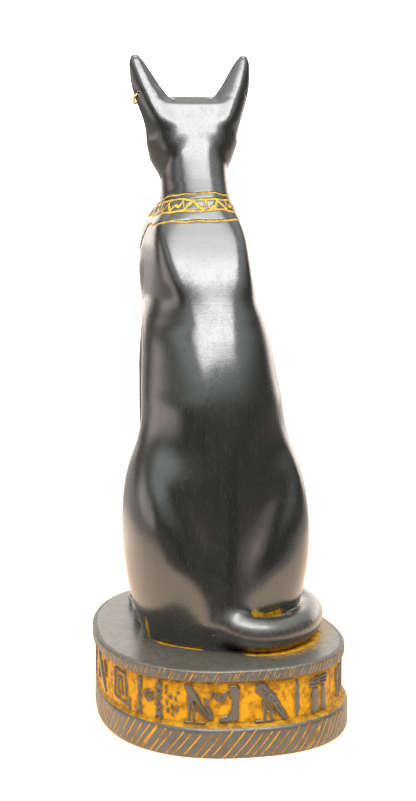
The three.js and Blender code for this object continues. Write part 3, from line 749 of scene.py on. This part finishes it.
def roundel(u, v):
    bars = [([(-0.9, 10.2), (0.9, 10.2)], 0.45), ([(-0.9, 9), (0.9, 9)], 0.45)]
    return np.minimum(ring_line(u, v - 9.6, 2.2, 0.6), drawn(u, v, bars))


def large_bird(u, v):
    """Distance to the bird, with the lines of its wing left out of it."""
    shoulder = ring_line((u - 0.6) * 0.8 + (v - 11) * 0.25, v - 11, 1.9, 0.3)
    return np.maximum(drawn(u, v, BIRD_BODY), -np.minimum(shoulder, drawn(u, v, BIRD_WING)))


# Each figure and its place along the band: the rear, then the hidden sides from the cat's left.
FRIEZE = [
    (TALL_STROKES, -56), (GATE, -34.5), (SPINDLE, -21.5), (large_bird, -8.6),
    (BOOT, 7.6), (CURLS, 14.2), (STANDING_BIRD, 23), (WORN_SPOTS, 34.2),
    (thick_upright, 40.4), (roundel, 45.8), (upright, 51.4), (NESTED_SQUARES, 65.4),
    (LONG_LEAF, 92), (thick_upright, 120), (large_bird, 138), (BOOT, 156),
    (GATE, 176), (SPINDLE, 195), (NESTED_SQUARES, 212), (upright, 230),
    (STANDING_BIRD, 247), (LONG_LEAF, 272), (roundel, 292), (GATE, 312),
    (thick_upright, 332), (BOOT, 347), (TALL_STROKES, 363),
]
FIGURE_REACH = 12


def frieze_distance(run, height):
    """Distance to the band's raised figures, below zero on them. Height is from the band's foot."""
    nearest = np.full(run.shape, FAR)
    height = np.broadcast_to(height, run.shape)
    for figure, place in FRIEZE:
        u = band.shorter_way(place - run)
        close = np.abs(u) < FIGURE_REACH
        u, v = u[close], height[close]
        distance = figure(u, v) if callable(figure) else drawn(u, v, figure)
        nearest[close] = np.minimum(nearest[close], distance)
    return nearest


def uneven(a, b, seed):
    """A smooth unevenness between about -1 and 1 over two coordinates, the same on every run."""
    rng = np.random.default_rng(seed)
    waves = 9
    total = np.zeros(np.shape(a))
    for _ in range(waves):
        turn, phase = rng.uniform(0, 2 * math.pi, 2)
        pitch = rng.uniform(0.5, 1.6)
        total += np.sin((a * math.cos(turn) + b * math.sin(turn)) * pitch + phase)
    return total / (waves / 2)


def stroke_places(pitch, spread, seed):
    """Places of strokes round a rim, unevenly spaced, some with a second one close beside."""
    rng = np.random.default_rng(seed)
    count = round(band.length / pitch)
    places = (np.arange(count) + rng.uniform(-spread, spread, count)) * band.length / count
    doubled = places[rng.random(count) < 0.2] + rng.uniform(0.9, 1.4)
    return np.sort(np.concatenate([places, doubled]) % band.length)


def stroke_marks(run, along, places, seed, width):
    """Depth of the strokes of a rim. Along is 0 at a stroke's foot and 1 at its top."""
    rng = np.random.default_rng(seed)
    low = rng.uniform(-0.05, 0.14, len(places))
    high = rng.uniform(0.86, 1.04, len(places))
    lean = rng.uniform(-0.5, 0.5, len(places))
    deep = rng.uniform(0.65, 1, len(places))
    fade = 0.04
    i = np.searchsorted(places, run % band.length)
    marks = np.zeros(np.shape(run))
    for step in (-1, 0, 1):
        n = (i + step) % len(places)
        off = band.shorter_way(run - places[n] - lean[n] * (along - 0.5))
        above_foot = ease(low[n] - fade, low[n] + fade, along)
        below_top = ease(high[n] + fade, high[n] - fade, along)
        marks = np.maximum(marks, groove(off, width) * above_foot * below_top * deep[n])
    return marks


def grid_faces(rows, columns, closed=False):
    """Quads between each ring of points and the next, and if closed from the last to the first."""
    index = np.arange(rows * columns).reshape(rows, columns)
    if closed:
        index = np.concatenate([index, index[:1]])
    beside = np.roll(index, -1, axis=1)
    return np.stack([index[:-1], beside[:-1], beside[1:], index[1:]], -1).reshape(-1, 4)


def fan(ring, middle):
    """Triangles between a ring of points and a point in its middle."""
    return np.stack([ring, np.roll(ring, -1), np.full(len(ring), middle)], -1)


# The plinth is meshed finely at the rear, which the photo shows, and more coarsely elsewhere.
REAR_REACH = 108
REAR_STEP = 0.37
SIDE_STEP = 0.7

# How far the rims' surface turns with its height, and how deep the rims are cut.
LOWER_TURN = 8.5
UPPER_TURN = 2.4
LOWER_CUT = 0.32
UPPER_CUT = 0.26


def build_plinth():
    """The plinth with its frieze, the cuts and lumps of its rims, and its paint."""
    offset, height, shift = (values[:, None] for values in plinth_profile().T)
    rear = np.arange(-REAR_REACH, REAR_REACH, REAR_STEP)
    runs = np.concatenate([rear, np.arange(REAR_REACH, band.length - REAR_REACH, SIDE_STEP)])[None, :]
    lower_share = np.clip(height / CUTS_TOP, 0, 1)
    upper_share = np.clip((height - BAND_TOP) / UPPER_RIM, 0, 1)
    from_top = 1 - lower_share
    lean = np.where(height < CUTS_TOP, LOWER_TURN * from_top * (1 + 0.15 * from_top), 0)
    run = runs + lean - np.where(height > BAND_TOP, UPPER_TURN * upper_share, 0)

    in_band = (height > BAND_FOOT + 0.05) & (height < BAND_TOP - 0.35)
    distance = frieze_distance(run, height - BAND_FOOT)
    distance = np.where(in_band, distance + 0.12 * uneven(run * 1.6, height * 1.6, 5), FAR)
    figure = ease(0.24, -0.12, distance)
    ground = 0.12 * uneven(run * 0.5, height * 0.5, 11) + 0.05 * uneven(run * 2.2, height * 2.2, 12)
    relief = np.where(in_band, FIGURE_RELIEF * figure + ground * (1 - figure), 0)
    lower = stroke_marks(runs, lower_share, stroke_places(4.15, 0.22, 3), 8, 0.85)
    lower = np.where(height < CUTS_TOP, lower * (height > 0.2), 0)
    upper = stroke_marks(runs, upper_share, stroke_places(2.35, 0.3, 4), 9, 0.5)
    upper = np.where((height > BAND_TOP + 0.2) & (offset > -0.5), upper, 0)
    lumps = 0.22 * uneven(run * 0.16, height * 0.5, 41) + 0.07 * uneven(run * 0.9, height * 0.9, 42)
    lumps = np.where(in_band, 0, lumps) * ease(0, 2, np.minimum(height, PLINTH_TOP - height))
    relief = relief + lumps - LOWER_CUT * lower - UPPER_CUT * upper
    x, y = outline_point(band.angle_at(run), offset + relief)
    points = np.stack([x - RIM_RIGHT * shift, y + RIM_BACK * shift, np.broadcast_to(height, x.shape)], -1)

    crease = (height >= 13.4) & (height <= BAND_FOOT + 0.1)
    crease |= (height >= BAND_TOP - 0.4) & (height < BAND_TOP + 0.05)
    gold = np.maximum(ease(0.2, 0.65, lower), 0.8 * ease(0.3, 0.75, upper))
    gold = np.where(crease, 1, np.where(in_band, ease(-0.05, 0.3, distance), gold))
    edge = ease(PLINTH_TOP - 0.5, PLINTH_TOP - 0.05, height)
    worn = np.maximum(np.where(in_band, 0.4 * figure, 0.6), edge)
    # Painted shade on the band's gold: darker under the overhanging upper rim, beside the raised figures and
    # along the band's foot.
    shade = ease(BAND_TOP - 2.2, BAND_TOP - 0.5, height) * (0.75 + 0.25 * uneven(run * 0.7, 0, 21))
    beside = ease(1.3, 0.2, distance) * (0.6 + 0.4 * uneven(run * 0.8, height * 0.8, 22))
    foot = 0.5 * ease(BAND_FOOT + 1.2, BAND_FOOT + 0.1, height)
    grime = np.where(in_band | crease, np.maximum(np.maximum(shade, beside), foot), 0)

    rows, columns = run.shape
    first_ring = np.arange(columns)
    foot_middle = (rows + 1) * columns
    faces = grid_faces(rows + 1, columns)[:, ::-1].tolist()
    faces += fan(first_ring + rows * columns, foot_middle + 1)[:, ::-1].tolist()
    faces += fan(first_ring, foot_middle).tolist()
    ends = [[-RIM_RIGHT, RIM_BACK, 0], [0, 0, PLINTH_TOP - 0.35]]
    points = np.concatenate([points.reshape(-1, 3), points[-1] * [0.6, 0.6, 1], ends])
    added = columns + len(ends)
    gold, grime = (np.append(share, np.zeros(added)) for share in (gold, grime))
    worn = np.append(worn, np.full(added, 0.5))
    return mesh_object("plinth", points, faces, gold=gold, worn=worn, grime=grime)


def build_plate():
    """The plinth's top, from the rounding of its rim inwards, with gold paint left along the cat's foot."""
    rows, columns = 90, 600
    angle = np.linspace(0, 2 * math.pi, columns, endpoint=False)
    share = np.linspace(1, 0.02, rows)[:, None]
    x, y = outline_point(angle, -PLATE_EDGE)
    x, y = x * share, y * share
    rise = 0.09 * uneven(x * 0.09, y * 0.09, 31) * ease(1, 0.9, share)
    points = np.stack([x, y, PLINTH_TOP + rise], -1).reshape(-1, 3)
    p = in_units(points)
    across, along, _ = p.T
    near = cat_field(p)
    patchy = 0.5 + 0.5 * uneven(points[:, 0] * 0.35, points[:, 1] * 0.35, 32)
    under_tail = ease(1.7, 0.6, near) * ease(1, -3, across) * ease(6, 12, along)
    # Painted reflection: a faint patchy gold beside the cat's right, standing in for the gold crevice
    # mirrored in the glossy top.
    painted_gold_reflection = 0.44 * ease(6, 1.5, near) * ease(0, -6, across)
    left_line = ease(0.9, 0.35, near) * ease(4, 6, across) * ease(8, 10, along)
    faces = grid_faces(rows, columns).tolist()
    faces.append(list(range((rows - 1) * columns, rows * columns)))
    gold = np.maximum.reduce([under_tail, painted_gold_reflection, left_line * (0.4 + patchy)])
    return mesh_object("plate", points, faces, gold=gold, worn=np.ones(len(points)))


def unit(vector):
    return np.array(vector) / np.linalg.norm(vector)


def build_ring():
    """A gilt ring through the left ear, in the place of the solid's ring."""
    diameter, wire = 6.4, 1.1
    turns, sides = 72, 24
    drop = unit([0.5, 0, -0.87])
    axis = unit(np.cross(drop, [0.6, 0.8, 0]))
    other = np.cross(axis, drop)
    loop = (diameter - wire) / 2
    around = np.linspace(0, 2 * math.pi, turns, endpoint=False)[:, None, None]
    section = np.linspace(0, 2 * math.pi, sides, endpoint=False)[:, None]
    out = drop * np.cos(around) + other * np.sin(around)
    thick = wire / 2 * (1 + 0.05 * np.sin(3 * around + 1))
    middle = in_mm(np.array(EAR_HOLE)) + drop * loop
    points = middle + out * (loop + thick * np.cos(section)) + axis * thick * np.sin(section)
    faces = grid_faces(turns, sides, closed=True)[:, [0, 3, 2, 1]].tolist()
    return mesh_object("ring", points.reshape(-1, 3), faces)


def feed(node, inputs):
    """Sets a node's inputs to values, or links them to the outputs of other nodes."""
    for key, value in inputs.items():
        if isinstance(value, bpy.types.NodeSocket):
            node.id_data.links.new(value, node.inputs[key])
        else:
            node.inputs[key].default_value = value


def add(tree, kind, inputs=None, **settings):
    node = tree.nodes.new("ShaderNode" + kind)
    for key, value in settings.items():
        setattr(node, key, value)
    feed(node, inputs or {})
    return node


def nodes_of(name, kind="BsdfPrincipled"):
    """A material, the node of the given kind that makes its surface, and the place on the object."""
    material = bpy.data.materials.new(name)
    material.use_nodes = True
    tree = material.node_tree
    tree.nodes.clear()
    shader = add(tree, kind)
    add(tree, "OutputMaterial", {"Surface": shader.outputs[0]})
    return material, shader, add(tree, "TexCoord").outputs["Object"]


def parts_of(vector):
    return add(vector.id_data, "SeparateXYZ", {"Vector": vector}).outputs[:]


def noise(vector, scale, detail=3, roughness=0.5):
    inputs = {"Vector": vector, "Scale": scale, "Detail": detail, "Roughness": roughness}
    return add(vector.id_data, "TexNoise", inputs).outputs["Fac"]


def remap(value, low, high, to_low=0, to_high=1):
    inputs = {"Value": value, "From Min": low, "From Max": high, "To Min": to_low, "To Max": to_high}
    return add(value.id_data, "MapRange", inputs, interpolation_type="SMOOTHSTEP").outputs["Result"]


def maths(operation, a, b):
    return add(a.id_data, "Math", {0: a, 1: b}, operation=operation).outputs[0]


def times(a, b):
    return maths("MULTIPLY", a, b)


def plus(a, b):
    return maths("ADD", a, b)


def mix(share, a, b, kind="RGBA"):
    return add(share.id_data, "Mix", {"Factor": share, "A": a, "B": b}, data_type=kind).outputs["Result"]


def share_at(place, name):
    return add(place.id_data, "Attribute", attribute_name=name).outputs["Fac"]


def stretched(place, scale):
    return add(place.id_data, "Mapping", {"Vector": place, "Scale": scale}).outputs["Vector"]


def bumps(height, distance):
    inputs = {"Strength": 0.2, "Distance": distance, "Height": height}
    return add(height.id_data, "Bump", inputs).outputs["Normal"]


def flecks(place, scale, size):
    """Sparse small spots: 1 inside a spot and 0 elsewhere."""
    cells = add(place.id_data, "TexVoronoi", {"Vector": place, "Scale": scale})
    return remap(cells.outputs["Distance"], size, size * 0.6)


def gold_paint(place, full, faint):
    """Gold paint, browner where it is thin, with small dark pits, and darkened to deep brown where the
    attribute asks for painted shade.
    """
    thin = remap(noise(place, 210, 5, 0.65), 0.42, 0.62)
    pits = remap(noise(place, 900, 3, 0.6), 0.36, 0.28, 0, 0.75)
    pitted = mix(pits, mix(thin, full, faint), (0.06, 0.028, 0.004, 1))
    # Painted shade: the attribute's share, broken up by noise, darkens the gold to a deep brown.
    grime = times(share_at(place, "grime"), remap(noise(place, 480, 4, 0.6), 0.35, 0.6, 0.35, 1))
    return mix(grime, pitted, (0.075, 0.036, 0.006, 1))


def composite_material(name, black, worn_black, rough, paint):
    """Black composite, brushed by hand along its height, with gold paint where the attribute says."""
    material, shader, place = nodes_of(name)
    upright_grain = stretched(place, (1, 1, 0.045))
    scratches = noise(upright_grain, 1500, 2, 0.6)
    cross = noise(stretched(place, (0.06, 0.06, 1)), 1300, 2, 0.6)
    smears = noise(upright_grain, 300, 4, 0.6)
    clouds = noise(place, 55, 4, 0.55)
    grain = noise(place, 1500, 2, 0.5)

    ragged = plus(share_at(place, "gold"), remap(grain, 0.25, 0.75, -0.2, 0.2))
    gold = remap(ragged, 0.38, 0.62)
    worn = share_at(place, "worn")
    rubbed = times(worn, remap(noise(place, 420, 4, 0.65), 0.3, 0.65, 0.35, 1))
    lighter = tuple(1.6 * part for part in black[:3]) + (1,)
    base = mix(rubbed, mix(clouds, black, lighter), worn_black)
    base = mix(flecks(place, 42, 0.02), base, (0.3, 0.24, 0.14, 1))

    brushed = plus(remap(smears, 0.3, 0.7, *rough), remap(scratches, 0.5, 0.72, 0, 0.09))
    lines = plus(times(scratches, 0.5), times(cross, 0.3))
    feed(shader, {
        "Base Color": mix(gold, base, gold_paint(place, *paint)),
        "Roughness": mix(gold, plus(brushed, times(worn, 0.12)), 0.6, "FLOAT"),
        "Normal": bumps(plus(lines, times(grain, 0.25)), 0.0002),
        "IOR": 1.9,
        "Specular IOR Level": remap(gold, 0, 1, 0.5, 0.1),
    })
    return material


def gilt_material():
    material, shader, place = nodes_of("gilt_wire")
    worn = noise(place, 900, 3, 0.6)
    feed(shader, {
        "Base Color": mix(worn, (0.8, 0.47, 0.07, 1), (0.95, 0.66, 0.2, 1)),
        "Roughness": remap(worn, 0.3, 0.7, 0.22, 0.4),
        "Metallic": 1.0,
        "Normal": bumps(worn, 0.0001),
    })
    return material


# Headings on the ground: from the camera to the cat and beyond, to the wall at the cat's left and the light
# beside it, and to the dark place behind the camera.
BEYOND_CAT = (-0.342, -0.94)
LEFT_WALL = (0.966, -0.259)
LEFT_LIGHT = (0.93, 0.35)
BEHIND_CAMERA = (-0.2, 0.98)


def towards(x, y, heading):
    """How far a direction points towards a heading on the ground."""
    return plus(times(x, heading[0]), times(y, heading[1]))


def floor_material():
    """White and glowing behind the cat and round it, and dim elsewhere, most of all on the camera's left."""
    material, shader, place = nodes_of("pale_floor")
    x, y, _ = parts_of(place)
    away = add(place.id_data, "VectorMath", {0: place}, operation="LENGTH").outputs["Value"]
    side = maths("DIVIDE", towards(x, y, BEYOND_CAT), maths("MAXIMUM", away, 0.05))
    behind = maths("MAXIMUM", remap(side, 0.85, 0.93), remap(away, 0.8, 0.35))
    near = times(remap(y, 0.5, 0.22), maths("MAXIMUM", behind, 0.3))
    right = remap(x, -0.05, -0.35, 0.12, 0.5)
    cloud = mix(noise(place, 3, 2, 0.5), (0.34, 0.33, 0.32, 1), (0.36, 0.35, 0.34, 1))
    feed(shader, {
        "Base Color": mix(near, (0.02, 0.02, 0.02, 1), cloud),
        "Roughness": 0.7,
        "Emission Color": mix(remap(away, 0.7, 0.3), (1.25, 1.1, 1.03, 1), (1.4, 0.95, 0.6, 1)),
        "Emission Strength": maths("MAXIMUM", near, right),
    })
    return material


def sheet(name, low, high, face, material):
    """A level rectangle between two corners in metres. The order of its face sets the side that it faces."""
    corners = [(low[0], low[1], 0), (high[0], low[1], 0), (high[0], high[1], 0), (low[0], high[1], 0)]
    made = mesh_object(name, np.array(corners) / MM, [face])
    made.data.materials.append(material)
    return made


# The camera, worked out from the photo: the focal length and the shift of the picture's middle in pixels, the
# place in metres, and the tilt and turn in radians.
FOCAL_LENGTH = 1873.28
PICTURE_HEIGHT = 801
MIDDLE_SHIFT = 2.573
CAMERA_PLACE = (0.1772, 0.8313, 0.2541)
CAMERA_TILT = 0.131
CAMERA_TURN = 0.21
SENSOR = 36


def build_camera():
    lens = bpy.data.cameras.new("camera")
    lens.sensor_width = SENSOR
    lens.lens = FOCAL_LENGTH / PICTURE_HEIGHT * SENSOR
    lens.clip_start, lens.clip_end = 0.05, 50
    camera = bpy.data.objects.new("camera", lens)
    camera.location = CAMERA_PLACE
    turn = math.pi - CAMERA_TURN + MIDDLE_SHIFT / FOCAL_LENGTH
    camera.rotation_euler = (math.pi / 2 - CAMERA_TILT, 0, turn)
    bpy.context.scene.collection.objects.link(camera)
    bpy.context.scene.camera = camera


def brightness_curve(value, stops):
    """A curve through (place, brightness) stops, as a grey colour ramp."""
    ramp = add(value.id_data, "ValToRGB", {"Fac": value})
    points = ramp.color_ramp.elements
    while len(points) < len(stops):
        points.new(0.5)
    for point, (place, level) in zip(points, stops):
        point.position = place
        point.color = (level, level, level, 1)
    return ramp.outputs["Color"]


# Brightness of the studio, as a share of the lamp's, by the sine of the height above the horizon.
SKY = [(0, 0.007), (0.1, 0.007), (0.24, 0.013), (0.38, 0.036), (0.5, 0.075), (0.62, 0.12), (0.7, 0.12)]
SKY += [(1, 0.1)]
LAMP = 11.5
# The lamp's corners and place in metres, and its brightness from the far edge to the edge towards the camera.
LAMP_LOW, LAMP_HIGH = (-0.6, -0.41), (1.15, 0.97)
LAMP_PLACE = (0, 0, 1.15)
LAMP_TURN = 0.2
LAMP_STOPS = [(0, 0.16), (0.3, 0.18), (0.48, 0.32), (0.63, 0.6), (0.73, 0.78), (0.87, 1), (0.93, 0.9), (1, 0)]


def build_light():
    """A dim room with a white wall behind the cat and round to its left, and a low glow behind the camera."""
    world = bpy.data.worlds.new("studio")
    bpy.context.scene.world = world
    world.use_nodes = True
    tree = world.node_tree
    x, y, z = parts_of(add(tree, "TexCoord").outputs["Generated"])
    beside = remap(towards(x, y, LEFT_WALL), 0.74, 0.97, 0, 2.2)
    wall = times(beside, remap(z, 0.1, 0.33, 0.8, 0.05))
    upper = times(remap(towards(x, y, LEFT_LIGHT), 0.66, 0.84), remap(z, 0.3, 0.52, 0, 0.6))
    dark_place = remap(towards(x, y, BEHIND_CAMERA), 0.93, 0.99, 1, 0)
    low_glow = times(remap(z, 0.2, 0.12, 0, 0.16), dark_place)
    behind = times(remap(towards(x, y, BEYOND_CAT), 0.76, 0.88, 0, 2.8), remap(z, 0.34, 0.2))
    strength = times(brightness_curve(z, SKY), LAMP)
    for light in (wall, upper, low_glow, behind):
        strength = plus(strength, light)
    tint = mix(remap(z, 0.1, 0.5), (1, 0.9, 0.81, 1), (0.95, 1, 0.97, 1))
    feed(tree.nodes["Background"], {"Strength": strength, "Color": tint})


def build_lamp():
    """A glowing sheet with soft edges, brightest along the edge towards the camera."""
    material, emission, place = nodes_of("lamp_glow", "Emission")
    x, y, _ = parts_of(place)
    left, right = LAMP_LOW[0], LAMP_HIGH[0]
    sides = times(remap(x, left, left + 0.14), remap(x, right, right - 0.4))
    ahead = maths("DIVIDE", maths("SUBTRACT", y, LAMP_LOW[1]), LAMP_HIGH[1] - LAMP_LOW[1])
    glow = times(sides, brightness_curve(ahead, LAMP_STOPS))
    feed(emission, {"Strength": times(glow, LAMP)})
    lamp = sheet("lamp", LAMP_LOW, LAMP_HIGH, (0, 3, 2, 1), material)
    lamp.location = LAMP_PLACE
    lamp.rotation_euler = (0, 0, LAMP_TURN)
    return lamp


# Each composite's name, black, rubbed black, range of roughness, and gold paint where it is thick and thin.
ORANGE = (0.6, 0.3, 0.004, 1), (0.31, 0.135, 0.003, 1)
YELLOW = (0.72, 0.45, 0.03, 1), (0.5, 0.27, 0.01, 1)
CAT_SKIN = "black_composite_paint", (0.0045, 0.0056, 0.005, 1), (0.045, 0.04, 0.032, 1), (0.17, 0.22), YELLOW
PLINTH_SKIN = "worn_composite_paint", (0.014, 0.013, 0.01, 1), (0.068, 0.062, 0.046, 1), (0.3, 0.42), ORANGE
PLATE_SKIN = "rubbed_composite_paint", (0.012, 0.012, 0.011, 1), (0.085, 0.078, 0.06, 1), (0.16, 0.24), ORANGE

for piece, node, slot, material in (
    (build_cat(), "cat_figure", "black_composite", composite_material(*CAT_SKIN)),
    (build_plinth(), "cat_figure", "black_composite", composite_material(*PLINTH_SKIN)),
    (build_plate(), "cat_figure", "black_composite", composite_material(*PLATE_SKIN)),
    (build_ring(), "ear_ring", "gilt_metal", gilt_material()),
):
    piece.data.materials.append(material)
    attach(piece, "root")
    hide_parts(node)

sheet("floor", (-6, -6), (6, 6), (0, 1, 2, 3), floor_material())
build_lamp()
build_camera()
build_light()
bpy.context.scene.view_settings.view_transform = "Standard"
